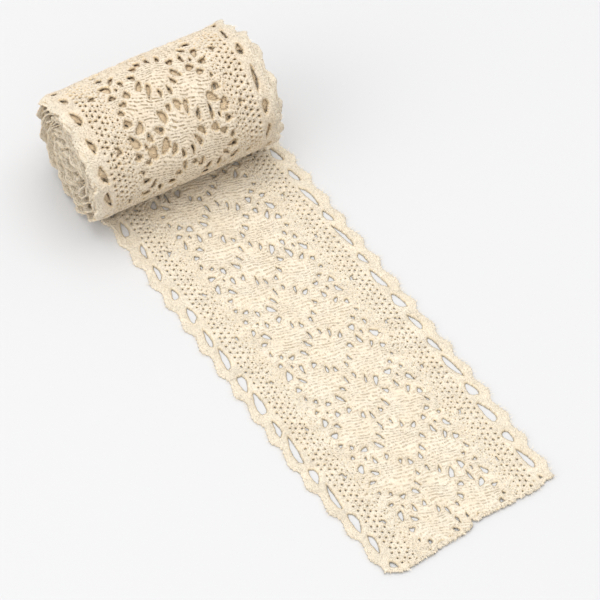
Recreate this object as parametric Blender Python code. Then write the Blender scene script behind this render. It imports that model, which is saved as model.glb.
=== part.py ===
"""Roll of cotton lace trim, with its loose end laid out flat.

The strip is charted flat, in distances across and along it, with scalloped edges and its largest
gaps cut through. It is then laid along its path: straight in the loose end, and wound in the roll.
Sizes are in millimetres and degrees, and the meshes are written in metres.
"""

import math
from bisect import bisect_right
from collections import Counter, namedtuple

import bpy
from mathutils import Vector
from mathutils.geometry import delaunay_2d_cdt

# Driving dimensions
STRIP_WIDTH = 80.0
SHEET = 1.2
REPEAT = 23.6
ROLL_RADIUS = 25.9
LOOSE_LENGTH = 199.0
HIDDEN_LENGTH = 8.0
TURNS = 7
SKEW = -3.0

MM = 0.001
HALF_WIDTH = STRIP_WIDTH / 2
PIECE_GAP = 0.3

# The roll: a close outermost turn, thicker coarse turns inside it, and a small flat spot below
FIRST_PITCH = 1.9
PITCH = 3.3
TURN_SHEET = 2.3
THICKENS_OVER = 0.2
FLAT_SINK = 0.3
CORE_SQUASH = 0.22
STEPS_A_TURN = 72

# The strip enters the roll a little eased, and runs to one side before it winds straight
EASE = 5.9
SIDE_DRIFT = -5.8
SETTLES_OVER = 70.0
SIDE_WANDER = 1.1
WANDER_TURN = 4.1

# Along runs from the middle of a side diamond towards the cut end, within one repeat
FIRST_REPEAT = 1.2

# The scalloped edge over one repeat, as insets from the strip's widest point
EdgePoint = namedtuple("EdgePoint", "along inset")
EDGE = (
    EdgePoint(-0.3, 0.1),
    EdgePoint(3.4, 2.6),
    EdgePoint(7.4, 1.3),
    EdgePoint(11.1, 0.0),
    EdgePoint(14.3, 2.8),
    EdgePoint(18.8, 1.5),
)

# The largest gaps of one repeat, in one half of the width: two eyelets, and those of the middle.
# A positive lean carries a gap outwards towards the cut end.
Gap = namedtuple("Gap", "across along width length lean corners")
GAPS = (
    Gap(34.1, -4.8, 3.0, 8.6, 8, 8),
    Gap(34.1, 7.4, 3.2, 5.8, 8, 8),
    Gap(18.6, -9.8, 2.7, 4.3, 14, 6),
    Gap(15.2, -5.9, 2.7, 4.0, -22, 6),
    Gap(12.6, -10.1, 2.1, 4.4, 4, 6),
    Gap(8.0, -9.5, 2.5, 3.8, 12, 6),
    Gap(5.0, -5.2, 2.1, 4.0, 10, 6),
    Gap(4.9, 5.5, 1.9, 4.1, -18, 6),
    Gap(7.6, 8.4, 2.5, 4.1, -20, 6),
    Gap(13.0, 7.6, 2.8, 3.8, 0, 6),
)

# The cut end from its left corner to its right one, ragged, with a nick near the middle
CutPoint = namedtuple("CutPoint", "across trimmed")
CUT_END = (
    CutPoint(-36.6, 2.6),
    CutPoint(-31.5, 0.0),
    CutPoint(-23.8, -0.2),
    CutPoint(-12.9, 1.0),
    CutPoint(1.2, 1.4),
    CutPoint(1.9, 6.0),
    CutPoint(4.5, 2.8),
    CutPoint(16.6, 2.4),
    CutPoint(29.4, 1.7),
    CutPoint(34.6, 3.3),
    CutPoint(39.2, 2.3),
)
NARROWS_OVER = 60.0
LEFT_NARROWING = 3.2
RIGHT_NARROWING = 0.8
MARGIN = 1.0
CUT_CLEAR = 3.0

COTTON = (0.86, 0.76, 0.61)
COTTON_ROUGHNESS = 0.9

# The triangulation: its kind of output, and the distance within which it merges points
TRIANGLES_INSIDE = 1
MERGED_WITHIN = 0.02


def clear_scene():
    for obj in list(bpy.data.objects):
        bpy.data.objects.remove(obj, do_unlink=True)


def cotton():
    material = bpy.data.materials.new("lace_cotton")
    material.use_nodes = True
    shader = material.node_tree.nodes["Principled BSDF"]
    shader.inputs["Base Color"].default_value = (*COTTON, 1.0)
    shader.inputs["Roughness"].default_value = COTTON_ROUGHNESS
    shader.inputs["Metallic"].default_value = 0.0
    return material


def smooth_step(value):
    value = min(max(value, 0.0), 1.0)
    return value * value * (3 - 2 * value)


def blend(near, far, share):
    return near + (far - near) * share


def repeats(start, end):
    """The places where the repeats that touch a stretch of the strip have their zero."""
    first = math.floor((start - FIRST_REPEAT) / REPEAT) - 1
    last = math.ceil((end - FIRST_REPEAT) / REPEAT) + 1
    return [FIRST_REPEAT + number * REPEAT for number in range(first, last)]


def edge_points(start, end):
    """The edge's corners well inside a stretch of the strip."""
    points = [EdgePoint(zero + p.along, p.inset) for zero in repeats(start, end) for p in EDGE]
    return [p for p in points if start + MARGIN < p.along < end - MARGIN]


def edge_inset(along):
    """The edge's inset at any place along the strip."""
    points = edge_points(along - REPEAT, along + REPEAT)
    for near, far in zip(points, points[1:]):
        if near.along <= along <= far.along:
            share = (along - near.along) / (far.along - near.along)
            return blend(near.inset, far.inset, share)
    return 0.0


def gap_loop(gap, zero):
    """One gap as a leaning oval with few corners."""
    lean = math.tan(math.radians(gap.lean))
    loop = []
    for corner in range(gap.corners):
        angle = math.tau * (corner + 0.5) / gap.corners
        up = gap.length / 2 * math.sin(angle)
        side = gap.width / 2 * math.cos(angle) + lean * up
        loop.append((gap.across + side, zero + gap.along + up))
    return loop


def gap_loops(start, end):
    """The gaps that lie wholly in a stretch of the strip, in both halves of its width."""
    loops = []
    for zero in repeats(start, end):
        for gap in GAPS:
            room = gap.length / 2 + MARGIN
            if start + room < zero + gap.along < end - room:
                loop = gap_loop(gap, zero)
                loops.append(loop)
                loops.append([(-across, along) for across, along in reversed(loop)])
    return loops


def triangulate(outline, gaps, cross_lines):
    """Fills the outline with triangles, without the gaps, split along the lines across it."""
    points = [Vector(point) for point in outline]
    faces = [list(range(len(points)))]
    edges = []
    for loop in gaps:
        faces.append(list(range(len(points), len(points) + len(loop))))
        points += [Vector(point) for point in loop]
    for left, right in cross_lines:
        edges.append((len(points), len(points) + 1))
        points += [Vector(left), Vector(right)]
    found = delaunay_2d_cdt(points, edges, faces, TRIANGLES_INSIDE, MERGED_WITHIN)
    verts, triangles, homes = found[0], found[2], found[5]
    outline_only = [0]
    return verts, [tri for tri, home in zip(triangles, homes) if list(home) == outline_only]


def sheet_object(name, chart, place, material):
    """Makes a closed sheet from a flat chart. place(across, along) gives its two faces' points."""
    flat, triangles = chart
    used = sorted({corner for tri in triangles for corner in tri})
    number = {corner: index for index, corner in enumerate(used)}
    pairs = [place(flat[corner].x, flat[corner].y) for corner in used]
    points = [pair[0] for pair in pairs] + [pair[1] for pair in pairs]
    count = len(used)
    top = [tuple(number[corner] for corner in reversed(tri)) for tri in triangles]
    bottom = [(c + count, b + count, a + count) for a, b, c in top]
    sides = [side for tri in top for side in zip(tri, tri[1:] + tri[:1])]
    uses = Counter(tuple(sorted(side)) for side in sides)
    rim = [side for side in sides if uses[tuple(sorted(side))] == 1]
    walls = [(b, a, a + count, b + count) for a, b in rim]
    mesh = bpy.data.meshes.new(name)
    metres = [tuple(MM * value for value in point) for point in points]
    mesh.from_pydata(metres, [], top + bottom + walls)
    mesh.materials.append(material)
    obj = bpy.data.objects.new(name, mesh)
    bpy.context.scene.collection.objects.link(obj)
    return obj


def turn_radius(turns):
    """The radius of the middle of the sheet, a number of turns after the contact line."""
    outer = ROLL_RADIUS - SHEET / 2
    if turns < 1:
        return outer - FIRST_PITCH * turns
    return outer - FIRST_PITCH - PITCH * (turns - 1)


def wound_point(turns):
    """The middle of the sheet as (back from the contact line, up), squashed near the core."""
    angle = math.tau * turns
    radius = turn_radius(turns)
    squash = CORE_SQUASH * (1 - radius / ROLL_RADIUS)
    back = radius * (1 + squash) * math.sin(angle)
    up = ROLL_RADIUS - FLAT_SINK - radius * (1 - squash) * math.cos(angle)
    return back, max(up, SHEET / 2)


PathPoint = namedtuple("PathPoint", "used back up turns")


def wound_path():
    """The strip's way from its hidden flat start round the turns, with the length used."""
    path = [PathPoint(-HIDDEN_LENGTH, -HIDDEN_LENGTH, SHEET / 2, 0.0)]
    wound = 0.0
    before = wound_point(0.0)
    for step in range(TURNS * STEPS_A_TURN + 1):
        turns = step / STEPS_A_TURN
        point = wound_point(turns)
        wound += math.dist(before, point)
        used = wound + EASE * smooth_step(wound / SETTLES_OVER)
        path.append(PathPoint(used, *point, turns))
        before = point
    return path


def path_directions(path):
    """The way that the path goes at each of its points, as (back, up)."""
    directions = []
    for behind, ahead in zip([path[0], *path[:-1]], [*path[1:], path[-1]]):
        back, up = ahead.back - behind.back, ahead.up - behind.up
        length = math.hypot(back, up)
        directions.append((back / length, up / length))
    return directions


def sheet_at(turns):
    """The sheet's thickness, growing from the real one after the outermost turn."""
    return blend(SHEET, TURN_SHEET, smooth_step((turns - 1) / THICKENS_OVER))


def drift_at(used, turns):
    """How far the strip lies to one side in the roll."""
    drift = SIDE_DRIFT * smooth_step(used / SETTLES_OVER)
    return drift + SIDE_WANDER * smooth_step(turns - 1) * math.sin(WANDER_TURN * turns)


def onto_roll(path):
    """A function that lays a point of the flat chart on the roll, as its two faces' points."""
    lengths = [point.used for point in path]
    directions = path_directions(path)
    sine, cosine = math.sin(math.radians(SKEW)), math.cos(math.radians(SKEW))

    def place(across, along):
        used = -along
        index = min(max(bisect_right(lengths, used) - 1, 0), len(path) - 2)
        near, far = path[index], path[index + 1]
        share = min(max((used - near.used) / (far.used - near.used), 0.0), 1.0)
        back, up = blend(near.back, far.back, share), blend(near.up, far.up, share)
        turns = blend(near.turns, far.turns, share)
        run = blend(directions[index][0], directions[index + 1][0], share)
        rise = blend(directions[index][1], directions[index + 1][1], share)
        half = sheet_at(turns) / 2
        side = across + drift_at(used, turns)
        faces = []
        for offset in (half, -half):
            behind = back - rise * offset
            height = max(up + run * offset, 0.0)
            faces.append((cosine * side - sine * behind, sine * side + cosine * behind, height))
        return faces

    return place


def roll(material):
    """The wound part, as a few coarse turns. Only its outermost turn has gaps."""
    path = wound_path()
    length = path[-1].used
    first_turn = path[STEPS_A_TURN + 1].used
    edge = edge_points(-length, HIDDEN_LENGTH)
    inner, outer = [EdgePoint(end, edge_inset(end)) for end in (-length, HIDDEN_LENGTH)]
    whole = [inner, *edge, outer]
    right = [(HALF_WIDTH - p.inset, p.along) for p in whole]
    left = [(p.inset - HALF_WIDTH, p.along) for p in reversed(whole)]
    lines = [((p.inset - HALF_WIDTH, p.along), (HALF_WIDTH - p.inset, p.along)) for p in edge]
    chart = triangulate(right + left, gap_loops(-first_turn, HIDDEN_LENGTH), lines)
    return sheet_object("roll", chart, onto_roll(path), material)


def narrowed(across, along):
    """The strip draws in a little near the cut end, more on its left."""
    share = smooth_step(1 - (LOOSE_LENGTH - along) / NARROWS_OVER)
    loss = RIGHT_NARROWING if across > 0 else LEFT_NARROWING
    return across * (1 - loss * share / HALF_WIDTH), along


def loose_end(material):
    """The flat part, from its skewed joint under the roll to the ragged cut end."""
    slant = HALF_WIDTH * math.tan(math.radians(SKEW))
    left_start, right_start = (HIDDEN_LENGTH + PIECE_GAP + side * slant for side in (1, -1))
    left_edge = edge_points(left_start, LOOSE_LENGTH - MARGIN)
    right_edge = edge_points(right_start, LOOSE_LENGTH - MARGIN)
    outline = [(HALF_WIDTH - edge_inset(right_start), right_start)]
    outline += [narrowed(HALF_WIDTH - p.inset, p.along) for p in right_edge]
    outline += [(p.across, LOOSE_LENGTH - p.trimmed) for p in reversed(CUT_END)]
    outline += [narrowed(p.inset - HALF_WIDTH, p.along) for p in reversed(left_edge)]
    outline.append((edge_inset(left_start) - HALF_WIDTH, left_start))
    gaps = []
    for loop in gap_loops(right_start, LOOSE_LENGTH - CUT_CLEAR):
        gaps.append([narrowed(across, along) for across, along in loop])

    def place(across, along):
        return (across, -along, SHEET), (across, -along, 0.0)

    return sheet_object("loose_end", triangulate(outline, gaps, []), place, material)


def centre_on_origin(objects):
    """Moves the meshes so that the origin is below the middle of the whole object's box."""
    points = [vertex.co for obj in objects for vertex in obj.data.vertices]
    middle = [(min(p[k] for p in points) + max(p[k] for p in points)) / 2 for k in (0, 1)]
    for obj in objects:
        for vertex in obj.data.vertices:
            vertex.co -= Vector((middle[0], middle[1], 0.0))


clear_scene()
lace_cotton = cotton()
centre_on_origin([roll(lace_cotton), loose_end(lace_cotton)])
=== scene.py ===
import math
from collections import namedtuple

import bpy
import numpy as np
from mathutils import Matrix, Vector


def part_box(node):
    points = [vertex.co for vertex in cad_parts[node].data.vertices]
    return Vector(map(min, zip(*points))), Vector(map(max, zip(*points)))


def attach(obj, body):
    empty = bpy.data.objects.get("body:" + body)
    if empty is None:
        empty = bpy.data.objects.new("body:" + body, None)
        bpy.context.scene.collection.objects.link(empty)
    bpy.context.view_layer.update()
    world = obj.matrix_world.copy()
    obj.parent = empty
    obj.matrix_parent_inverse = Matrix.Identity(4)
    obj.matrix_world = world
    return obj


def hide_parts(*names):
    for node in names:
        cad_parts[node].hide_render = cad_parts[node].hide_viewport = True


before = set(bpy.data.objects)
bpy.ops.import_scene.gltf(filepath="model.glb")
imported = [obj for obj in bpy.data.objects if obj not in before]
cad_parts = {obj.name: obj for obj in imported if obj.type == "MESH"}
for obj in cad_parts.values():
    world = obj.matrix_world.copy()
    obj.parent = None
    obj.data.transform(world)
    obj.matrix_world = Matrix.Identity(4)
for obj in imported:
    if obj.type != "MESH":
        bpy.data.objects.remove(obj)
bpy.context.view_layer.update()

# Loose end
# The end of the strip that lies flat on the table: torchon lace, 80 mm wide, of undyed cotton
# yarns that are woven, twisted and plaited round open gaps, and cut across raw at its end.

MM = 0.001
STRIP_WIDTH = 80.0
HALF_WIDTH = STRIP_WIDTH / 2
LOOSE_LENGTH = 199.0
REPEAT = 23.6
FIRST_REPEAT = 1.2

# The woven ribs that run across, and the mesh's rows and columns
RIB = REPEAT / 17
ROW = REPEAT / 68
COLUMN = 0.42

# The yarn's section from the strip's middle plane: its face, its back, and its rims at the gaps
HALF_SHEET = 0.55
YARN_ROUND = 0.6
RIM_HEIGHT = 0.12
BACK_HEIGHT = 0.5
BACK_RIM = 0.75 * BACK_HEIGHT

# The yarn at the bottom of a gap reaches further in than at its top: at most, and as a share of
# the gap's half width
LOWER_REACH = 0.62
LOWER_SHARE = 0.62

# One half of a repeat. Along runs towards the cut end, and a positive lean goes outwards with it.
Gap = namedtuple("Gap", "across along width length lean")
LARGE_GAPS = (
    Gap(18.8, 1.9, 1.7, 2.4, 10),
    Gap(16.0, 4.6, 2.4, 2.3, 0),
    Gap(13.0, 7.6, 2.8, 3.3, 0),
    Gap(7.6, 8.4, 2.5, 3.9, -20),
    Gap(4.9, 5.5, 1.8, 4.0, -18),
    Gap(2.1, 2.6, 1.3, 3.4, 0),
    Gap(18.3, -2.9, 2.8, 2.6, 0),
    Gap(15.2, -5.9, 2.6, 3.7, -22),
    Gap(12.6, -10.1, 2.0, 4.2, 4),
    Gap(8.0, -9.5, 2.4, 3.3, 12),
    Gap(5.0, -5.2, 2.0, 3.7, 10),
    Gap(2.1, -3.1, 1.9, 3.4, 0),
    Gap(18.6, 8.5, 2.6, 2.6, 0),
    Gap(18.6, -9.8, 2.6, 4.1, 14),
    Gap(15.2, 11.2, 1.1, 1.9, 0),
    Gap(25.2, -11.0, 1.7, 2.6, 0),
    Gap(33.8, -5.2, 3.2, 10.4, 8),
    Gap(33.9, 7.0, 3.4, 7.4, 8),
)

# Columns of small gaps: their place, how many in a repeat, the first one's place and their size
NetColumn = namedtuple("NetColumn", "across count first size")
NET_COLUMNS = (
    NetColumn(30.4, 9, 0.0, 1.05),
    NetColumn(28.4, 9, 0.5, 1.1),
    NetColumn(26.4, 9, 0.0, 1.05),
    NetColumn(24.6, 9, 0.5, 0.8),
    NetColumn(23.2, 12, 0.0, 0.6),
    NetColumn(21.9, 12, 0.5, 0.55),
    NetColumn(20.8, 12, 0.0, 0.5),
)

# How far gaps stand open, as a share of their charted size. Outside the middle, narrow gaps are
# the net's and wide ones are the edge's eyelets.
Opening = namedtuple("Opening", "middle net edge")
LAID_OPENING = Opening(1.06, 0.98, 1.04)
MIDDLE_ENDS = 20
NARROW_GAP = 2

# How unlike each other the repeats are, and how far a gap's outline goes from an oval one
GAP_SEED = 11
REPEAT_SEED = 1000
SHIFTS_BY = 0.2
SIZE_VARIES = 0.17
SMALLEST, LARGEST = 0.75, 1.25
CORNERS = 3
CORNERED = 0.1

# The scalloped edge over one repeat, as insets from the strip's widest point, and its fine picots
EdgePoint = namedtuple("EdgePoint", "along inset")
EDGE = (
    EdgePoint(-0.3, 0.1),
    EdgePoint(3.4, 2.6),
    EdgePoint(7.4, 1.3),
    EdgePoint(11.1, 0.0),
    EdgePoint(14.3, 2.8),
    EdgePoint(18.8, 1.5),
)
EDGE_SOFTNESS = 1.6
EDGE_SAMPLES = 7
PICOT = REPEAT / 14
PICOT_DEPTH = 0.36

# Unevenness of the yarns: its height, the size of its lumps, and the seed of its random draws
Uneven = namedtuple("Uneven", "height lump seed")
RIM_UNEVEN = Uneven(0.13, 1.7, 3)
EDGE_FLUFF = Uneven(0.2, 0.9, 4)
UNEVEN_WAVES = 7
UNEVEN_STRENGTH = 1.6
FINEST_LUMP, COARSEST_LUMP = 0.7, 1.6


def smooth_step(value):
    value = np.clip(value, 0.0, 1.0)
    return value * value * (3 - 2 * value)


def uneven(across, along, kind):
    """Smooth unevenness, up and down by about the height of its kind."""
    random = np.random.default_rng(kind.seed)
    total = 0.0
    for _ in range(UNEVEN_WAVES):
        angle, phase = random.uniform(0, math.tau, 2)
        pace = math.tau / kind.lump / random.uniform(FINEST_LUMP, COARSEST_LUMP)
        total = total + np.sin(pace * (across * math.cos(angle) + along * math.sin(angle)) + phase)
    return kind.height * (total / UNEVEN_WAVES * UNEVEN_STRENGTH)


def repeats_between(start, end):
    """The numbers of the repeats that reach into a stretch of the strip."""
    first = math.floor((start - FIRST_REPEAT) / REPEAT) - 1
    last = math.ceil((end - FIRST_REPEAT) / REPEAT) + 1
    return range(first, last)


PlacedGap = namedtuple("PlacedGap", "across along half_width half_length lean corner_angle")


def placed_gaps(start, end, opening, least_across):
    """Every gap of a stretch of the strip, each a little different from the others."""
    net = []
    for column in NET_COLUMNS:
        for number in range(column.count):
            place = (number + column.first) * REPEAT / column.count - REPEAT / 2
            net.append(Gap(column.across, place, column.size, column.size, 0))
    found = []
    for repeat in repeats_between(start, end):
        random = np.random.default_rng([GAP_SEED, repeat + REPEAT_SEED])
        for side in (1, -1):
            for gap in LARGE_GAPS + tuple(net):
                shift_across, shift_along = random.normal(0, SHIFTS_BY, 2)
                width, length = random.normal(1, SIZE_VARIES, 2).clip(SMALLEST, LARGEST)
                corner_angle = random.uniform(0, math.tau)
                if gap.across < least_across:
                    continue
                wide = opening.middle
                if gap.across > MIDDLE_ENDS:
                    wide = opening.net if gap.width < NARROW_GAP else opening.edge
                found.append(PlacedGap(
                    side * (gap.across + shift_across),
                    FIRST_REPEAT + repeat * REPEAT + gap.along + shift_along,
                    gap.width * width * wide / 2,
                    gap.length * length * wide / 2,
                    side * math.tan(math.radians(gap.lean)),
                    corner_angle,
                ))
    return found


def edge_width(along):
    """Half the strip's width at each place along it, with its scallops and fine picots."""
    places, insets = [], []
    for repeat in repeats_between(along.min(), along.max()):
        for point in EDGE:
            places.append(FIRST_REPEAT + repeat * REPEAT + point.along)
            insets.append(point.inset)
    places, insets = np.array(places), np.array(insets)
    offsets = np.linspace(-EDGE_SOFTNESS, EDGE_SOFTNESS, EDGE_SAMPLES)
    inset = sum(np.interp(along + offset, places, insets) for offset in offsets) / len(offsets)
    picots = PICOT_DEPTH * np.abs(np.sin(math.pi * along / PICOT))
    return HALF_WIDTH - inset - PICOT_DEPTH + picots


# Depths in the yarn are told apart up to this one
DEEPEST = 3.0
TINY = 1e-6


def yarn_field(across, along, opening, least_across=0.0):
    """How deep each point lies in the yarn, in mm: zero at a gap's rim, and below zero in the gap.
    The second result is the half width of the nearest gap, and zero where that is the edge."""
    grid_across, grid_along = np.meshgrid(across, along)
    rough = uneven(grid_across, grid_along, RIM_UNEVEN)
    inside_edge = edge_width(grid_along) - np.abs(grid_across)
    depth = np.minimum(DEEPEST, inside_edge + rough + uneven(grid_across, grid_along, EDGE_FLUFF))
    half_gap = np.zeros(depth.shape)
    for gap in placed_gaps(along.min(), along.max(), opening, least_across):
        margin = max(gap.half_width, gap.half_length) + abs(gap.lean) * gap.half_length + DEEPEST
        left, right = np.searchsorted(across, (gap.across - margin, gap.across + margin))
        low, high = np.searchsorted(along, (gap.along - margin, gap.along + margin))
        if left == right or low == high:
            continue
        near = (slice(low, high), slice(left, right))
        y = grid_along[near] - gap.along
        x = grid_across[near] - gap.across - gap.lean * y
        scaled = np.hypot(x / gap.half_width, y / gap.half_length)
        slope = np.hypot(x / gap.half_width ** 2, y / gap.half_length ** 2).clip(TINY)
        turned = CORNERS * np.arctan2(y / gap.half_length, x / gap.half_width) + gap.corner_angle
        away = scaled * (scaled - (1 + CORNERED * np.cos(turned))) / slope + rough[near]
        nearest = away < depth[near]
        half_gap[near][nearest] = min(gap.half_width, gap.half_length)
        depth[near][nearest] = away[nearest]
    return depth, half_gap


# The ribs slant one way on the face that shows on the table, and the other way on the face that
# shows on the roll. They change over where the strip leaves the table.
FACE_SLANT = -0.27
BACK_SLANT = 0.3
RIB_TURNS = 12.0
RIB_WANDER = Uneven(1.0, 11.0, 5)
RIB_TREMBLE = Uneven(0.28, 3.0, 6)


def sway(across, along):
    """How far the ribs lie from straight across, in mm."""
    slant = across * np.interp(along, (-RIB_TURNS, RIB_TURNS), (BACK_SLANT, FACE_SLANT))
    return slant + uneven(across, along, RIB_WANDER) + uneven(across, along, RIB_TREMBLE)


# Cloth fills the middle as far as this place across, and the plaited cord starts at the next one
CLOTH_ENDS, CLOTH_FADES = 18.8, 1.5
CORD_STARTS, CORD_FADES = 31.0, 0.8
RIB_HEIGHT = 0.10
RIB_STARTS, RIB_FADES = 0.3, 0.7
TWIST_HEIGHT = 0.14
TWIST_PITCH = 1.4
TWIST_SLANT = 0.8
TWIST_UNEVEN = Uneven(0.3, 4.0, 7)
YARN_LUMPS = Uneven(0.13, 1.1, 8)


def relief(across, along, depth):
    """The height of the yarns on the strip's face, over its middle plane."""
    x, y = np.meshgrid(across, along)
    side = np.abs(x)
    rounded = np.sqrt(1 - (1 - np.clip(depth / YARN_ROUND, 0, 1)) ** 2)
    in_cloth = 1 - smooth_step((side - CLOTH_ENDS) / CLOTH_FADES)
    in_cord = smooth_step((side - CORD_STARTS) / CORD_FADES)
    ribs = np.cos(math.tau * (y + sway(x, y)) / RIB)
    twist = np.cos(math.tau * (y + TWIST_SLANT * side + uneven(x, y, TWIST_UNEVEN)) / TWIST_PITCH)
    height = HALF_SHEET * rounded
    height += RIB_HEIGHT * ribs * in_cloth * smooth_step((depth - RIB_STARTS) / RIB_FADES)
    height += TWIST_HEIGHT * twist * in_cord * rounded
    height += uneven(x, y, YARN_LUMPS) * rounded
    return height


def rim_points(kept):
    """Marks the grid's points that lie between kept cells and open ones."""
    rows, columns = kept.shape[0] + 1, kept.shape[1] + 1
    touching = np.zeros((rows, columns), int)
    for down, right in ((0, 0), (0, 1), (1, 0), (1, 1)):
        touching[down:rows - 1 + down, right:columns - 1 + right] += kept
    full = np.full((rows, columns), 4)
    full[0, :] //= 2
    full[-1, :] //= 2
    return (touching > 0) & (touching < full)


def sheet_faces(kept):
    """The corners of the kept cells on both faces of the sheet, and of the walls round its gaps."""
    rows, columns = kept.shape[0] + 1, kept.shape[1] + 1
    top = np.arange(rows * columns).reshape(rows, columns)
    below = top + rows * columns
    corners = [grid for ids in (top, below) for grid in
               (ids[:-1, :-1], ids[:-1, 1:], ids[1:, 1:], ids[1:, :-1])]
    a, b, c, d, under_a, under_b, under_c, under_d = corners
    padded = np.pad(kept, 1)
    no_right, no_left = kept & ~padded[1:-1, 2:], kept & ~padded[1:-1, :-2]
    no_next, no_last = kept & ~padded[2:, 1:-1], kept & ~padded[:-2, 1:-1]
    groups = (
        (kept, (a, b, c, d)),
        (kept, (under_d, under_c, under_b, under_a)),
        (no_right, (c, b, under_b, under_c)),
        (no_next, (d, c, under_c, under_d)),
        (no_left, (a, d, under_d, under_a)),
        (no_last, (b, a, under_a, under_b)),
    )
    return np.concatenate([np.stack([grid[where] for grid in quad], axis=1) for where, quad in groups])


def smooth_mesh(name, points, faces):
    mesh = bpy.data.meshes.new(name)
    mesh.vertices.add(len(points))
    mesh.vertices.foreach_set("co", (points * MM).astype(np.float32).ravel())
    mesh.loops.add(faces.size)
    mesh.loops.foreach_set("vertex_index", faces.astype(np.int32).ravel())
    mesh.polygons.add(len(faces))
    mesh.polygons.foreach_set("loop_start", np.arange(0, faces.size, 4, dtype=np.int32))
    mesh.polygons.foreach_set("use_smooth", np.ones(len(faces), bool))
    mesh.update(calc_edges=True)
    mesh.validate()
    return mesh


# A rim's points move onto the gap's outline, at most by this share of the mesh's row or column
MOST_MOVED = 0.55
LEAST_STEEP = 0.25


def lace_object(name, across, along, yarn, place, material, thick=1.0, flipped=False):
    """The strip as one closed mesh. place(across, along, height) gives points of the laid strip."""
    depth, half_gap = yarn
    kept = (depth[:-1, :-1] + depth[1:, :-1] + depth[:-1, 1:] + depth[1:, 1:]) / 4 > 0
    rim = rim_points(kept)
    slope_along, slope_across = np.gradient(depth, along, across)
    steep = (slope_along ** 2 + slope_across ** 2).clip(LEAST_STEEP)
    moved_across = np.clip(-depth * slope_across / steep, -MOST_MOVED * COLUMN, MOST_MOVED * COLUMN)
    moved_along = np.clip(-depth * slope_along / steep, -MOST_MOVED * ROW, MOST_MOVED * ROW)
    x, y = np.meshgrid(across, along)
    x = np.where(rim, x + moved_across, x)
    y = np.where(rim, y + moved_along, y)
    reach = np.minimum(LOWER_REACH, LOWER_SHARE * half_gap)
    reach = np.where(rim, thick * reach / np.sqrt(steep), 0.0)
    face = np.where(rim, RIM_HEIGHT, relief(across, along, depth).clip(RIM_HEIGHT))
    back = np.where(rim, BACK_RIM, BACK_HEIGHT)
    points = np.concatenate([
        place(x, y, thick * face).reshape(-1, 3),
        place(x - reach * slope_across, y - reach * slope_along, -thick * back).reshape(-1, 3),
    ])
    faces = sheet_faces(kept)
    if flipped:
        faces = faces[:, ::-1]
    used, faces = np.unique(faces, return_inverse=True)
    mesh = smooth_mesh(name, points[used], faces.reshape(-1, 4))
    chart = np.stack([x, y + sway(x, y), np.clip(depth, 0, DEEPEST)], axis=2).reshape(-1, 3)
    chart = np.concatenate([chart, chart])[used]
    layer = mesh.attributes.new("chart", "FLOAT_VECTOR", "POINT")
    layer.data.foreach_set("vector", chart.astype(np.float32).ravel())
    mesh.materials.append(material)
    piece = bpy.data.objects.new(name, mesh)
    bpy.context.scene.collection.objects.link(piece)
    cell = np.outer(np.diff(along), np.diff(across))
    piece["cloth_area"] = float((cell * kept).sum() * MM * MM)
    return piece


class ShaderNodes:
    """Short ways to add nodes to a material. A value is a number, a colour or a node's result."""

    def __init__(self, material):
        self.nodes = material.node_tree.nodes
        self.links = material.node_tree.links

    def join(self, value, socket):
        if isinstance(value, (int, float, tuple)):
            socket.default_value = value
        else:
            self.links.new(value, socket)

    def calc(self, operation, first, second=0.0):
        node = self.nodes.new("ShaderNodeMath")
        node.operation = operation
        self.join(first, node.inputs[0])
        self.join(second, node.inputs[1])
        return node.outputs[0]

    def spread(self, value, low, high, least=0.0, most=1.0):
        """Goes smoothly from least to most while the value goes from low to high."""
        node = self.nodes.new("ShaderNodeMapRange")
        node.interpolation_type = "SMOOTHSTEP"
        self.join(value, node.inputs["Value"])
        self.join(low, node.inputs["From Min"])
        self.join(high, node.inputs["From Max"])
        self.join(least, node.inputs["To Min"])
        self.join(most, node.inputs["To Max"])
        return node.outputs["Result"]

    def paired(self, first, second):
        node = self.nodes.new("ShaderNodeCombineXYZ")
        self.join(first, node.inputs["X"])
        self.join(second, node.inputs["Y"])
        return node.outputs["Vector"]

    def parted(self, vector):
        node = self.nodes.new("ShaderNodeSeparateXYZ")
        self.join(vector, node.inputs["Vector"])
        return node.outputs["X"], node.outputs["Y"], node.outputs["Z"]

    def distance(self, first, second):
        node = self.nodes.new("ShaderNodeVectorMath")
        node.operation = "DISTANCE"
        self.join(first, node.inputs[0])
        self.join(second, node.inputs[1])
        return node.outputs["Value"]

    def noise(self, place, kind):
        node = self.nodes.new("ShaderNodeTexNoise")
        node.noise_dimensions = "2D"
        self.join(kind.scale, node.inputs["Scale"])
        self.join(kind.detail, node.inputs["Detail"])
        self.join(place, node.inputs["Vector"])
        return node.outputs["Fac"]

    def blend(self, share, first, second):
        node = self.nodes.new("ShaderNodeMix")
        self.join(share, node.inputs[0])
        self.join(first, node.inputs[2])
        self.join(second, node.inputs[3])
        return node.outputs[0]

    def mixed(self, share, first, second):
        """Blends two colours."""
        node = self.nodes.new("ShaderNodeMix")
        node.data_type = "RGBA"
        self.join(share, node.inputs[0])
        self.join(first, node.inputs[6])
        self.join(second, node.inputs[7])
        return node.outputs[2]


# Pits between the twisted yarns, fainter in the cords and none at a gap's rim
KNOT = 1.0
PIT_HALF_SIZE = 0.34
PIT_FLOOR = 0.3
PIT_SCATTER = 0.8
NO_PIT, FULL_PIT = 0.15, 0.7
PITS_IN_CORD = 0.45
FAINTER_FROM, FAINTER_TO = 29.5, 31.5
PITS_START, PITS_FULL = 0.1, 0.5


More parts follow.
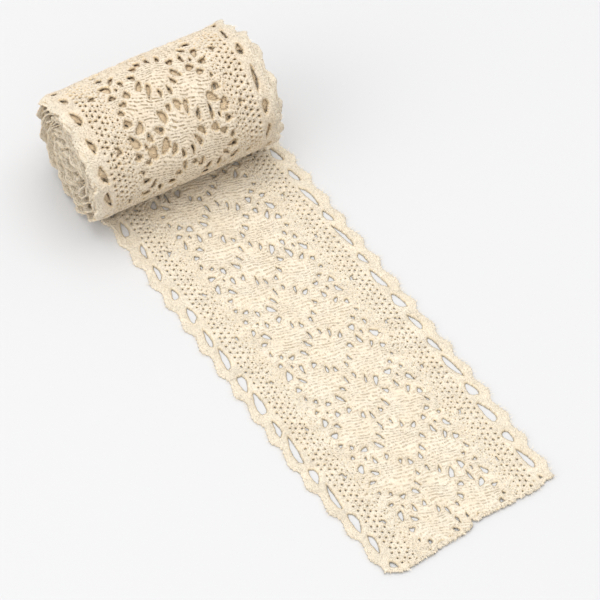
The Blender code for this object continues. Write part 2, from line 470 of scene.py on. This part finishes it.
def pits_at_knots(add, across, along, depth, side):
    """Pits, one in each cell of a shaken grid, of unequal depth: 1 in the middle of the deepest."""
    place = add.paired(add.calc("DIVIDE", across, KNOT), add.calc("DIVIDE", along, KNOT))
    cells = add.nodes.new("ShaderNodeTexVoronoi")
    cells.voronoi_dimensions = "2D"
    cells.inputs["Scale"].default_value = 1.0
    cells.inputs["Randomness"].default_value = PIT_SCATTER
    add.join(place, cells.inputs["Vector"])
    distance = add.distance(place, cells.outputs["Position"])
    pit = add.spread(distance, PIT_HALF_SIZE / KNOT, PIT_FLOOR * PIT_HALF_SIZE / KNOT)
    strength = add.parted(cells.outputs["Color"])[0]
    pit = add.calc("MULTIPLY", pit, add.spread(strength, NO_PIT, FULL_PIT))
    pit = add.calc("MULTIPLY", pit, add.spread(side, FAINTER_TO, FAINTER_FROM, PITS_IN_CORD, 1.0))
    return add.calc("MULTIPLY", pit, add.spread(depth, PITS_START, PITS_FULL))


# Dashes in the valleys between the cloth's ribs, broken in another way in each valley
Noise = namedtuple("Noise", "scale detail")
DASH_NOISE = Noise(0.95, 2.0)
DASH_NOISE_STEP = 5.3
DASH_ENDS, DASH_FULL = 0.42, 0.62
FAINTEST_DASH = 0.12
VALLEY_STARTS, VALLEY_FULL = 0.1, -0.9


def dashes_between_ribs(add, across, along):
    ribs = add.calc("COSINE", add.calc("MULTIPLY", along, math.tau / RIB))
    rib_number = add.calc("FLOOR", add.calc("DIVIDE", along, RIB))
    place = add.paired(across, add.calc("MULTIPLY", rib_number, DASH_NOISE_STEP))
    broken = add.spread(add.noise(place, DASH_NOISE), DASH_ENDS, DASH_FULL, FAINTEST_DASH, 1.0)
    return add.calc("MULTIPLY", add.spread(ribs, VALLEY_STARTS, VALLEY_FULL), broken)


# Undyed yarn, its warmer patches, the painted shade down in its pits, and the painted shade at a laid
# gap's rim
YARN_LIGHT = (0.92, 0.82, 0.66, 1)
YARN_WARM = (0.90, 0.785, 0.61, 1)
YARN_DEEP = (0.40, 0.27, 0.12, 1)
LAID_RIM_SHADE = (0.87, 0.74, 0.53, 1)
COTTON_ROUGHNESS = 0.92
COTTON_GLOSS = 0.25
COTTON_SHEEN = 0.2
SHEEN_ROUGHNESS = 0.6

# Where colours, the painted rim shade and the pits change over: by the depth in the yarn, and by the
# place across
CLOTH_SHADE_STARTS, CLOTH_SHADE_FULL = 0.3, 0.9
RIM_SHADE_ENDS = 0.2
EDGE_COLOUR_STARTS, EDGE_COLOUR_FULL = 35.5, 37.5

# Warmer patches of yarn, its grain, and the fuzz on it
PATCHES = Noise(0.12, 4.0)
PATCH_STARTS, PATCH_FULL = 0.30, 0.70
GRAIN = Noise(1.5, 3.0)
GRAIN_STARTS, GRAIN_FULL = 0.5, 0.75
GRAIN_SHADE = 0.36
FUZZ = Noise(2.6, 3.0)
FUZZ_HEIGHT = 0.9
GRAIN_HEIGHT, GRAIN_HEIGHT_IN_CLOTH = 2.6, 1.9
DASHES_SINK = 1.8
BUMP_HEIGHT = 0.32


def cotton_material(name, light, warm, rim, pit_shade, dash_shade):
    """Undyed cotton: rows of yarn crossings in the woven parts, twisted knots in the open ones, with
    painted shade in the pits, in the rib valleys and at the gaps' rims.
    """
    material = bpy.data.materials.new(name)
    material.use_nodes = True
    add = ShaderNodes(material)
    shader = add.nodes["Principled BSDF"]
    shader.inputs["Roughness"].default_value = COTTON_ROUGHNESS
    shader.inputs["Specular IOR Level"].default_value = COTTON_GLOSS
    shader.inputs["Sheen Weight"].default_value = COTTON_SHEEN
    shader.inputs["Sheen Roughness"].default_value = SHEEN_ROUGHNESS

    chart = add.nodes.new("ShaderNodeAttribute")
    chart.attribute_name = "chart"
    across, along, depth = add.parted(chart.outputs["Vector"])
    side = add.calc("ABSOLUTE", across)
    in_middle = add.spread(side, CLOTH_ENDS + CLOTH_FADES, CLOTH_ENDS)
    in_yarn = add.spread(depth, CLOTH_SHADE_STARTS, CLOTH_SHADE_FULL)
    in_cloth = add.calc("MULTIPLY", in_middle, in_yarn)
    knots = pits_at_knots(add, across, along, depth, side)
    pits = add.blend(in_cloth, knots, dashes_between_ribs(add, across, along))

    here = add.paired(across, along)
    warm_share = add.spread(add.noise(here, PATCHES), PATCH_STARTS, PATCH_FULL)
    at_edge = add.spread(side, EDGE_COLOUR_STARTS, EDGE_COLOUR_FULL)
    edge_colour = add.mixed(0.5, YARN_LIGHT, YARN_WARM)
    cotton = add.mixed(at_edge, add.mixed(warm_share, light, warm), edge_colour)
    # Painted shade: towards each gap's rim the yarn turns to the rim's darker, warmer colour
    cotton = add.mixed(add.spread(depth, RIM_SHADE_ENDS, 0.0), cotton, rim)
    # Painted shade: the pits and the rib valleys darken the yarn towards YARN_DEEP. So does the grain,
    # which is partly the yarn's uneven tone and partly painted shade in the bump's hollows.
    grain = add.noise(here, GRAIN)
    grain_shade = add.spread(grain, GRAIN_STARTS, GRAIN_FULL, 0.0, GRAIN_SHADE * pit_shade)
    shade = add.calc("MULTIPLY", pits, add.blend(in_cloth, pit_shade, dash_shade))
    shade = add.calc("ADD", shade, grain_shade)
    add.join(add.mixed(shade, cotton, YARN_DEEP), shader.inputs["Base Color"])

    sunk = add.calc("MULTIPLY", pits, add.blend(in_cloth, 1.0, DASHES_SINK * dash_shade))
    fuzz = add.calc("MULTIPLY", add.noise(here, FUZZ), FUZZ_HEIGHT)
    grains = add.calc("MULTIPLY", grain, add.blend(in_cloth, GRAIN_HEIGHT, GRAIN_HEIGHT_IN_CLOTH))
    bump = add.nodes.new("ShaderNodeBump")
    bump.inputs["Strength"].default_value = 1.0
    bump.inputs["Distance"].default_value = BUMP_HEIGHT * MM
    add.join(add.calc("SUBTRACT", add.calc("SUBTRACT", fuzz, sunk), grains), bump.inputs["Height"])
    add.join(bump.outputs["Normal"], shader.inputs["Normal"])
    return material


# The cut end from its left corner to its right one, ragged, with a nick near the middle
CutPoint = namedtuple("CutPoint", "across trimmed")
CUT_END = (
    CutPoint(-36.6, 2.6),
    CutPoint(-31.5, 0.0),
    CutPoint(-23.8, -0.2),
    CutPoint(-12.9, 1.0),
    CutPoint(1.0, 1.4),
    CutPoint(1.9, 4.6),
    CutPoint(4.3, 3.0),
    CutPoint(16.6, 2.4),
    CutPoint(29.4, 1.7),
    CutPoint(34.6, 3.3),
    CutPoint(39.2, 2.3),
)
CUT_FRAY = Uneven(0.3, 1.3, 14)
CUT_WANDER = Uneven(0.4, 4.0, 15)


def cut_line(across):
    """Where the cut runs at each place across the strip."""
    places = np.array([point.across for point in CUT_END])
    trimmed = np.array([point.trimmed for point in CUT_END])
    ragged = uneven(across, across, CUT_FRAY) + uneven(across, across, CUT_WANDER)
    return LOOSE_LENGTH - np.interp(across, places, trimmed) + ragged


# How the loose end lies: it draws in towards its cut end, rises there, and is a little wavy
NARROWS_OVER = 60.0
LEFT_NARROWING = 3.2
RIGHT_NARROWING = 0.8
CUT_LIFT = 0.6
LIFTS_OVER = 12.0
LAID_WAVES = Uneven(0.12, 45.0, 21)
OVER_TABLE = 0.06

loose_low, loose_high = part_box("loose_end")
middle_x = loose_high.x / MM - HALF_WIDTH
furthest_cut = -min(point.trimmed for point in CUT_END)
contact_y = loose_low.y / MM + LOOSE_LENGTH + furthest_cut


def laid_flat(across, along, height):
    """The loose end on the table. It draws in a little towards the cut end, more on its left."""
    share = smooth_step(1 - (LOOSE_LENGTH - along) / NARROWS_OVER)
    loss = np.where(across > 0, RIGHT_NARROWING, LEFT_NARROWING)
    side = across * (1 - loss * share / HALF_WIDTH)
    waves = uneven(across, along, LAID_WAVES)
    lifted = CUT_LIFT * smooth_step(1 - (LOOSE_LENGTH - along) / LIFTS_OVER)
    up = BACK_HEIGHT + OVER_TABLE + np.abs(waves) + lifted + height
    return np.stack([middle_x + side, contact_y - along, up], axis=-1)


# Next to the cut the gaps close up, and the yarn thins out over a short way
CUT_BAND = 1.0
CLOSED_DEPTH = 0.4
RAW_CUT = 3.0
PAST_CUT = 1.0

laid_cotton = cotton_material("cotton_laid_flat", YARN_LIGHT, YARN_WARM, LAID_RIM_SHADE,
                              pit_shade=0.38, dash_shade=0.45)
columns = np.arange(-HALF_WIDTH - COLUMN, HALF_WIDTH + 2 * COLUMN, COLUMN)
split_at = ROW * round(LOOSE_LENGTH / 2 / ROW)


def loose_piece(name, start, end):
    rows = np.arange(round(start / ROW), round(end / ROW) + 1) * ROW
    depth, half_gap = yarn_field(columns, rows, LAID_OPENING)
    to_cut = cut_line(columns)[None, :] - rows[:, None]
    inside_edge = edge_width(rows)[:, None] - np.abs(columns)[None, :]
    depth = np.where(to_cut < CUT_BAND, np.maximum(depth, CLOSED_DEPTH), depth)
    depth = np.minimum(np.minimum(depth, RAW_CUT * to_cut), inside_edge)
    piece = lace_object(name, columns, rows, (depth, half_gap), laid_flat, laid_cotton, flipped=True)
    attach(piece, "root")
    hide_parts("loose_end")
    return piece


loose_piece("loose_end_by_roll", 0.0, split_at)
loose_piece("loose_end_by_cut", split_at, LOOSE_LENGTH + PAST_CUT)

# Outermost turn
# The same strip where it leaves the table and is wound once round the roll, pattern outwards and
# held by nothing but its own weight. The turn below it shows through its gaps.

ROLL_RADIUS = 25.9
SHEET = 1.2
FIRST_PITCH = 1.6
INNER_PITCH = 1.27
CORE_RADIUS = 2.6
CORE_SQUASH = 0.22
FLAT_SINK = 0.3
STEPS_A_TURN = 360
EASE = 5.9
SETTLES_OVER = 70.0

# The strip's path into the roll, seen from its end: how far back and how high it is at each turn,
# how much of the strip is used up by then, and which way it runs
outer = ROLL_RADIUS - SHEET / 2
last_turn = 1 + (outer - FIRST_PITCH - CORE_RADIUS) / INNER_PITCH
turns = np.linspace(0, last_turn, round(last_turn * STEPS_A_TURN))
radius = np.where(turns < 1, outer - FIRST_PITCH * turns,
                  outer - FIRST_PITCH - INNER_PITCH * (turns - 1))
squash = CORE_SQUASH * (1 - radius / ROLL_RADIUS)
path_back = radius * (1 + squash) * np.sin(math.tau * turns)
path_up = ROLL_RADIUS - FLAT_SINK - radius * (1 - squash) * np.cos(math.tau * turns)
path_up = path_up.clip(SHEET / 2)
wound = np.concatenate([[0], np.cumsum(np.hypot(np.diff(path_back), np.diff(path_up)))])
path_used = wound + EASE * smooth_step(wound / SETTLES_OVER)
path_run, path_rise = np.gradient(path_back), np.gradient(path_up)
pace = np.hypot(path_run, path_rise)
path_run, path_rise = path_run / pace, path_rise / pace
first_turn = float(np.interp(1.0, turns, path_used))

# Waves round the roll: their height, how many there are in a turn, how far they drift with each
# turn, and where they start
Wave = namedtuple("Wave", "height count drift start")
WINDING_WAVES = (
    Wave(1.0, 2, 0.42, 0.5),
    Wave(0.8, 3, 0.6, 2.1),
    Wave(0.5, 5, -0.5, 4.0),
)
RUFFLE_WAVES = (
    Wave(1.3, 6, 0.5, 1.0),
    Wave(0.5, 11, -0.5, 3.0),
)
OUTER_UNEVEN, INNER_UNEVEN, UNEVEN_OVER = 0.18, 0.45, 6
RUFFLE = 0.6
RUFFLES_FROM, RUFFLES_OVER = 29.0, 9.0

# The left rim of the outermost turn curls in, and the roll is fuller in the middle of its top
CURL = 1.6
CURLS_FROM, CURLS_OVER = 32.0, 8.0
CURL_ENDS, CURL_FADES = 0.9, 0.3
CROWN = 1.3


def waves_at(waves, turn):
    angle = math.tau * turn
    return sum(wave.height * np.sin(wave.count * angle + wave.drift * turn + wave.start)
               for wave in waves)


def looseness(turn, across):
    """How far a turn stands out from its even winding, in mm. Neighbours move together."""
    angle = math.tau * turn
    amount = OUTER_UNEVEN + INNER_UNEVEN * smooth_step((turn - 1) / UNEVEN_OVER)
    clear_of_table = (1 - np.cos(angle)).clip(0, 1)
    crown = CROWN * (1 - (across / HALF_WIDTH) ** 2) * (1 - np.cos(angle)) / 2
    at_rim = smooth_step((np.abs(across) - RUFFLES_FROM) / RUFFLES_OVER)
    ruffles = RUFFLE * at_rim * waves_at(RUFFLE_WAVES, turn)
    curl = CURL * smooth_step((-across - CURLS_FROM) / CURLS_OVER) ** 2
    curl = curl * (1 - smooth_step((turn - CURL_ENDS) / CURL_FADES))
    return clear_of_table * (amount * waves_at(WINDING_WAVES, turn) + ruffles - curl) + crown


# The strip drifts to the left as it is wound. The inner turns lie less far that way, and wander.
SIDE_DRIFT = -5.8
INNER_DRIFT = -4.4
INSIDE_FROM, INSIDE_OVER = 0.97, 0.25
SIDE_WANDER = 1.7
WANDER_TURNS = 2.4
WANDER_BEND, WANDER_BEND_PACE = 0.9, 0.7
WANDER_START = 0.4


def side_shift(used, turn):
    """How far the strip lies to one side in the roll: the inner turns lie less to the left."""
    inside = smooth_step((turn - INSIDE_FROM) / INSIDE_OVER)
    bend = WANDER_BEND * np.sin(WANDER_BEND_PACE * turn)
    wander = SIDE_WANDER * np.sin(math.tau * turn / WANDER_TURNS + bend + WANDER_START)
    shift = SIDE_DRIFT * smooth_step(used / SETTLES_OVER)
    return shift + inside * (INNER_DRIFT - SIDE_DRIFT + wander)


SKEW = math.radians(-3.0)
LOWEST = 0.02


def wound_up(across, along, height):
    """The strip in the roll. Height counts outwards there."""
    used = -along
    turn = np.interp(used, path_used, turns)
    back = np.interp(used, path_used, path_back)
    up = np.interp(used, path_used, path_up)
    run = np.interp(used, path_used, path_run)
    rise = np.interp(used, path_used, path_rise)
    offset = -(height + looseness(turn, across))
    side = across + side_shift(used, turn)
    behind = back - rise * offset
    up = (up + run * offset).clip(LOWEST)
    x = middle_x + math.cos(SKEW) * side - math.sin(SKEW) * behind
    y = contact_y + math.sin(SKEW) * side + math.cos(SKEW) * behind
    return np.stack([x, y, up], axis=-1)


WOUND_OPENING = Opening(1.34, 1.2, 0.84)
# Painted shade: the wound cotton is a darker copy of the laid cotton, and its pits and rib valleys
# take stronger painted shade, so that the roll reads darker than the table's end
WOUND_SHADED_LIGHT = (0.91, 0.79, 0.625, 1)
WOUND_SHADED_WARM = (0.885, 0.75, 0.575, 1)
WOUND_RIM_SHADE = (0.80, 0.63, 0.40, 1)
shaded_wound_cotton = cotton_material("cotton_wound_up_shaded", WOUND_SHADED_LIGHT, WOUND_SHADED_WARM, WOUND_RIM_SHADE,
                               pit_shade=0.85, dash_shade=0.74)


def wound_piece(name, start, end):
    rows = np.arange(round(-end / ROW), round(-start / ROW) + 1) * ROW
    yarn = yarn_field(columns, rows, WOUND_OPENING)
    piece = lace_object(name, columns, rows, yarn, wound_up, shaded_wound_cotton)
    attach(piece, "root")
    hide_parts("roll")
    return piece


half_turn = ROW * round(first_turn / 2 / ROW)
first_end = ROW * round(first_turn / ROW)
wound_piece("outer_turn_back", 0.0, half_turn)
wound_piece("outer_turn_front", half_turn, first_end)

# Inner turns
# The rest of the strip, wound by hand, so that its turns are uneven and their scalloped edges
# stand out unequally at the roll's two ends. The second turn shows through the outermost one's gaps.

BELOW_OPENING = Opening(0.62, 0.6, 0.95)
INNER_THICKNESS = 0.62
# Painted shade: the second turn's cotton is darker and browner than the outer turn's, for the shade
# under the outer turn and the warm light that comes through it
INNER_SHADED_LIGHT = (0.87, 0.68, 0.45, 1)
INNER_SHADED_WARM = (0.81, 0.61, 0.38, 1)
# The ends' cotton has the roll's painted shade at its gaps' rims and strong painted shade in its pits
end_cotton = cotton_material("cotton_at_ends", YARN_LIGHT, YARN_WARM, WOUND_RIM_SHADE,
                             pit_shade=0.9, dash_shade=0.4)
shaded_inner_cotton = cotton_material("cotton_below_shaded", INNER_SHADED_LIGHT, INNER_SHADED_WARM, INNER_SHADED_WARM,
                               pit_shade=0.4, dash_shade=0.3)


def inner_piece(name, start, end, row, across, material, least_across=0.0):
    rows = np.arange(round(-end / row), round(-start / row) + 1) * row
    yarn = yarn_field(across, rows, BELOW_OPENING, least_across)
    piece = lace_object(name, across, rows, yarn, wound_up, material, INNER_THICKNESS)
    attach(piece, "root")
    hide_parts("roll")
    return piece


SECOND_ROW = 2 * ROW
SECOND_COLUMN = 0.6
second_end = float(np.interp(2.0, turns, path_used))
second_columns = np.arange(-HALF_WIDTH - SECOND_COLUMN, HALF_WIDTH + 2 * SECOND_COLUMN, SECOND_COLUMN)
inner_piece("second_turn", first_end, second_end, SECOND_ROW, second_columns, shaded_inner_cotton)

# The turns inside that one show their edges alone, so their middles have few columns
INNER_ROW = REPEAT / 20
EDGE_COLUMN = 0.72
SHOWING_EDGE = 10.0
HIDDEN_COLUMNS = 9
EYELETS_FROM = 32.0
edge_columns = np.arange(HALF_WIDTH - SHOWING_EDGE, HALF_WIDTH + 2 * EDGE_COLUMN, EDGE_COLUMN)
middle_columns = np.linspace(-edge_columns[0], edge_columns[0], HIDDEN_COLUMNS + 2)[1:-1]
inner_columns = np.concatenate([-edge_columns[::-1], middle_columns, edge_columns])
inner_piece("inner_turns", second_end, float(path_used[-1]), INNER_ROW, inner_columns, end_cotton,
            EYELETS_FROM)

# Stray fibres and thread ends
# Cotton yarn is hairy. Short fibres stand out of the strip's edges and of the roll's outer face,
# and the yarns' cut ends stick out of the raw end.

Strand = namedtuple("Strand", "thickness shortest longest")
FIBRE = Strand(0.085, 0.8, 2.2)
THREAD = Strand(0.3, 0.9, 2.2)
TAPER = np.array((1.0, 0.9, 0.75, 0.35))
SIDES = 3
BENDS_BY = 1.0
NEARLY_UPRIGHT = 0.8
FIBRE_ROUGHNESS = 0.9
LOWEST_FIBRE = 0.03

fibre_cotton = bpy.data.materials.new("cotton_fibres")
fibre_cotton.use_nodes = True
fibre_cotton.node_tree.nodes["Principled BSDF"].inputs["Base Color"].default_value = YARN_LIGHT
fibre_cotton.node_tree.nodes["Principled BSDF"].inputs["Roughness"].default_value = FIBRE_ROUGHNESS


def strands(random, starts, place, kind, straying, rising):
    """Thin curved strands from points (across, along, height, way they point) of the strip."""
    across, along, height, facing = (np.asarray(part, float)[:, None] for part in starts)
    count = len(across)
    step = np.linspace(0, 1, len(TAPER))[None, :]
    run = random.uniform(kind.shortest, kind.longest, (count, 1)) * step
    heading = facing + random.uniform(-straying, straying, (count, 1))
    heading = heading + random.uniform(-BENDS_BY, BENDS_BY, (count, 1)) * step
    climb = random.uniform(*rising, (count, 1))
    path = place(across + run * np.cos(heading), along + run * np.sin(heading), height + climb * run)
    lengthwise = path[:, -1] - path[:, 0]
    lengthwise /= np.linalg.norm(lengthwise, axis=1, keepdims=True)
    upright = np.abs(lengthwise[:, 2:]) >= NEARLY_UPRIGHT
    helper = np.where(upright, (1.0, 0.0, 0.0), (0.0, 0.0, 1.0))
    first = np.cross(lengthwise, helper)
    first /= np.linalg.norm(first, axis=1, keepdims=True)
    second = np.cross(lengthwise, first)
    rings = []
    for corner in range(SIDES):
        angle = math.tau * corner / SIDES
        outwards = math.cos(angle) * first + math.sin(angle) * second
        rings.append(path + kind.thickness / 2 * TAPER[None, :, None] * outwards[:, None, :])
    return np.stack(rings, axis=2).reshape(count, -1, 3)


def strand_faces(base):
    """The faces of one strand whose first point has that number: its two ends and its sides."""
    faces = [(base + 2, base + 1, base)]
    for ring in range(len(TAPER) - 1):
        for corner in range(SIDES):
            a, b = base + SIDES * ring + corner, base + SIDES * ring + (corner + 1) % SIDES
            faces.append((a, b, b + SIDES, a + SIDES))
    tip = base + SIDES * (len(TAPER) - 1)
    faces.append((tip, tip + 1, tip + 2))
    return faces


def strand_piece(name, bundles, node):
    points = np.concatenate([strand for bundle in bundles for strand in bundle])
    points[:, 2] = points[:, 2].clip(LOWEST_FIBRE)
    faces = []
    for base in range(0, len(points), SIDES * len(TAPER)):
        faces.extend(strand_faces(base))
    mesh = bpy.data.meshes.new(name)
    mesh.from_pydata((points * MM).tolist(), [], faces)
    mesh.materials.append(fibre_cotton)
    piece = bpy.data.objects.new(name, mesh)
    bpy.context.scene.collection.objects.link(piece)
    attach(piece, "root")
    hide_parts(node)


# Where strands are rooted: how far inside the edge, how high, and how far back from the cut
EDGE_ROOT = 0.3
LOWEST_ROOT, HIGHEST_ROOT = -0.3, 0.4
FACE_ROOT = 0.3
FIBRES_BACK = 0.4
THREADS_BACK = 0.8


def along_edges(random, count, start, end):
    """Points just inside the strip's two edges, for fibres that point outwards."""
    side = random.choice((-1, 1), count)
    along = random.uniform(start, end, count)
    across = side * (edge_width(along) - EDGE_ROOT)
    height = random.uniform(LOWEST_ROOT, HIGHEST_ROOT, count)
    return across, along, height, np.where(side > 0, 0.0, math.pi)


def along_cut(across, back):
    """Points a little back from the cut, for fibres and thread ends that point past it."""
    return across, cut_line(across) - back, 0 * across, math.pi / 2 + 0 * across


# How many strands there are, and how far they keep from the strip's corners, the roll and the cut
FIBRE_SEED = 31
LOOSE_EDGE_FIBRES = 800
CUT_FIBRES = 260
CUT_THREADS = 75
FIBRES_INSIDE = HALF_WIDTH - 2
THREADS_INSIDE = HALF_WIDTH - 3
ROLL_CLEAR = 2.0
CUT_CLEAR = 4
fibre_random = np.random.default_rng(FIBRE_SEED)
cut_fibres = fibre_random.uniform(-FIBRES_INSIDE, FIBRES_INSIDE, CUT_FIBRES)
cut_threads = fibre_random.uniform(-THREADS_INSIDE, THREADS_INSIDE, CUT_THREADS)
loose_edges = along_edges(fibre_random, LOOSE_EDGE_FIBRES, ROLL_CLEAR, LOOSE_LENGTH - CUT_CLEAR)
strand_piece("loose_end_fibres", (
    strands(fibre_random, loose_edges, laid_flat, FIBRE, straying=1.3, rising=(-0.1, 0.3)),
    strands(fibre_random, along_cut(cut_fibres, FIBRES_BACK), laid_flat, FIBRE,
            straying=1.2, rising=(-0.2, 0.3)),
    strands(fibre_random, along_cut(cut_threads, THREADS_BACK), laid_flat, THREAD,
            straying=0.7, rising=(-0.3, 0.1)),
), "loose_end")

# The roll's fibres keep away from the place where it touches the table
ROLL_EDGE_FIBRES = 700
ROLL_FACE_FIBRES = 500
EDGES_CLEAR = 10
FACE_CLEAR = 20
face_across = fibre_random.uniform(-THREADS_INSIDE, THREADS_INSIDE, ROLL_FACE_FIBRES)
face_along = fibre_random.uniform(-first_turn + FACE_CLEAR, -FACE_CLEAR, ROLL_FACE_FIBRES)
roll_edges = along_edges(fibre_random, ROLL_EDGE_FIBRES, -first_turn, -EDGES_CLEAR)
edge_bundle = strands(fibre_random, roll_edges, wound_up, FIBRE, straying=1.3, rising=(-0.5, 0.5))
any_way = fibre_random.uniform(0, math.tau, ROLL_FACE_FIBRES)
face_points = (face_across, face_along, FACE_ROOT + 0 * face_across, any_way)
face_bundle = strands(fibre_random, face_points, wound_up, FIBRE, straying=1.0, rising=(0.3, 0.9))
strand_piece("roll_fibres", (edge_bundle, face_bundle), "roll")

# Stage
# A plain pale table, under soft studio light from above and a weaker one from the left, seen from
# the photo's angle.

TABLE = 3.0
PAPER = (0.645, 0.645, 0.65, 1)
PAPER_ROUGHNESS = 0.8
ROOM_LIGHT = 0.78
bpy.ops.mesh.primitive_plane_add(size=TABLE, location=(0, 0, 0))
table = bpy.context.active_object
table.name = "table"
paper = bpy.data.materials.new("pale_paper")
paper.use_nodes = True
paper.node_tree.nodes["Principled BSDF"].inputs["Base Color"].default_value = PAPER
paper.node_tree.nodes["Principled BSDF"].inputs["Roughness"].default_value = PAPER_ROUGHNESS
table.data.materials.append(paper)

room = bpy.data.worlds.new("studio")
bpy.context.scene.world = room
room.use_nodes = True
room.node_tree.nodes["Background"].inputs["Color"].default_value = (1.0, 1.0, 1.0, 1)
room.node_tree.nodes["Background"].inputs["Strength"].default_value = ROOM_LIGHT


def soft_light(name, place, size, power):
    light = bpy.data.lights.new(name, "AREA")
    light.size = size
    light.energy = power
    lamp = bpy.data.objects.new(name, light)
    lamp.location = place
    lamp.rotation_euler = (-Vector(place)).to_track_quat("-Z", "Y").to_euler()
    bpy.context.scene.collection.objects.link(lamp)


soft_light("key", place=(0.2, 0.08, 2.0), size=1.8, power=26.0)
soft_light("side", place=(-1.4, 0.1, 0.95), size=1.5, power=8.4)

CAMERA_TARGET = Vector((0.00779, 0.00327, 0.0))
CAMERA_ELEVATION = math.radians(54)
CAMERA_AZIMUTH = math.radians(-32.964)
CAMERA_DISTANCE = 0.9795
CAMERA_LENS = 158.55
SENSOR_WIDTH = 36.0
NEAREST_SEEN = 0.05
lens = bpy.data.cameras.new("camera")
lens.lens = CAMERA_LENS
lens.sensor_width = SENSOR_WIDTH
lens.clip_start = NEAREST_SEEN
camera = bpy.data.objects.new("camera", lens)
towards_camera = Vector((
    math.sin(CAMERA_AZIMUTH) * math.cos(CAMERA_ELEVATION),
    -math.cos(CAMERA_AZIMUTH) * math.cos(CAMERA_ELEVATION),
    math.sin(CAMERA_ELEVATION),
))
camera.location = CAMERA_TARGET + CAMERA_DISTANCE * towards_camera
camera.rotation_euler = towards_camera.to_track_quat("Z", "Y").to_euler()
bpy.context.scene.collection.objects.link(camera)
bpy.context.scene.camera = camera
bpy.context.scene.view_settings.view_transform = "Standard"
